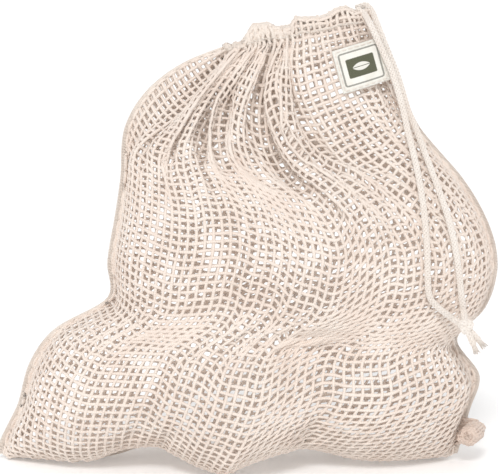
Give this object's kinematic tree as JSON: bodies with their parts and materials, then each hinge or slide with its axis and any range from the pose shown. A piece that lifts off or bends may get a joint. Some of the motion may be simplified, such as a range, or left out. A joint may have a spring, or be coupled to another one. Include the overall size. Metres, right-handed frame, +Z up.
{
  "type": "mesh produce bag",
  "caption": "Net produce bag that stands filled, its mouth gathered by a drawcord in a stitched hem, with a small sewn label.",
  "frame": {"origin": "on the floor under the middle of the standing bag, on the line of its bottom seam", "axes": "+Z up; -Y is the front, which carries the label; +X is to the right seen from the front, the side the cord hangs on"},
  "size_m": [0.3068, 0.1465, 0.2839],
  "materials": {
    "net_cotton": "matte open cotton net, natural unbleached",
    "seam_thread": "matte overlocked cotton thread",
    "hem_cotton": "matte doubled cotton net",
    "cord_cotton": "matte soft cotton cord",
    "label_cloth": "matte closely woven cotton",
    "stitch_thread": "matte cotton thread"
  },
  "bodies": {
    "bag_body": {"front_net_panel": "net_cotton", "back_net_panel": "net_cotton", "left_side_seam": "seam_thread", "right_side_seam": "seam_thread", "bottom_seam": "seam_thread", "rolled_corner": "net_cotton", "front_shoulder_net": "net_cotton", "back_shoulder_net": "net_cotton", "left_shoulder_seam": "seam_thread", "right_shoulder_seam": "seam_thread"},
    "neck": {"front_neck_net": "net_cotton", "back_neck_net": "net_cotton", "left_neck_seam": "seam_thread", "right_neck_seam": "seam_thread"},
    "mouth_front": {"front_casing": "hem_cotton", "front_casing_stitching": "stitch_thread", "front_cord_run": "cord_cotton", "label": "label_cloth", "label_stitching": "stitch_thread"},
    "mouth_back": {"back_casing": "hem_cotton", "back_casing_stitching": "stitch_thread", "back_cord_run": "cord_cotton"},
    "cord_loop": {"front_cord_strand": "cord_cotton", "back_cord_strand": "cord_cotton"},
    "knot": {"cord_knot": "cord_cotton"},
    "front_tail": {"front_cord_tail": "cord_cotton"},
    "back_tail": {"back_cord_tail": "cord_cotton"}
  },
  "joints": [
    {"name": "neck_tilt", "type": "hinge", "parent": "bag_body", "child": "neck", "pos_m": [0.022, 0, 0.19], "axis": [0, -1, 0], "range_deg": [0, 30], "deforming": ["front_shoulder_net", "back_shoulder_net", "left_shoulder_seam", "right_shoulder_seam"]},
    {"name": "mouth_front_open", "type": "slide", "parent": "neck", "child": "mouth_front", "axis": [0, -1, 0], "range_m": [0, 0.03]},
    {"name": "mouth_back_open", "type": "slide", "parent": "neck", "child": "mouth_back", "axis": [0, 1, 0], "range_m": [0, 0.03]},
    {"name": "cord_swing", "type": "hinge", "parent": "neck", "child": "cord_loop", "pos_m": [0.069, -0.004, 0.278], "axis": [0, -1, 0], "range_deg": [0, 140]},
    {"name": "cord_draw", "type": "slide", "parent": "cord_loop", "child": "knot", "axis": [-0.3046, -0.1543, 0.9399], "range_m": [0, 0.027], "deforming": ["front_cord_strand", "back_cord_strand"]},
    {"name": "front_tail_swing", "type": "hinge", "parent": "knot", "child": "front_tail", "pos_m": [0.1282, 0, 0.0953], "axis": [0, -1, 0], "range_deg": [-30, 30]},
    {"name": "back_tail_swing", "type": "hinge", "parent": "knot", "child": "back_tail", "pos_m": [0.1282, 0, 0.0953], "axis": [0, -1, 0], "range_deg": [-30, 30]}
  ],
  "couplings": [
    {"joint": "mouth_back_open", "follows": "mouth_front_open", "ratio": 1},
    {"joint": "cord_draw", "follows": "mouth_front_open", "ratio": 0.9}
  ]
}
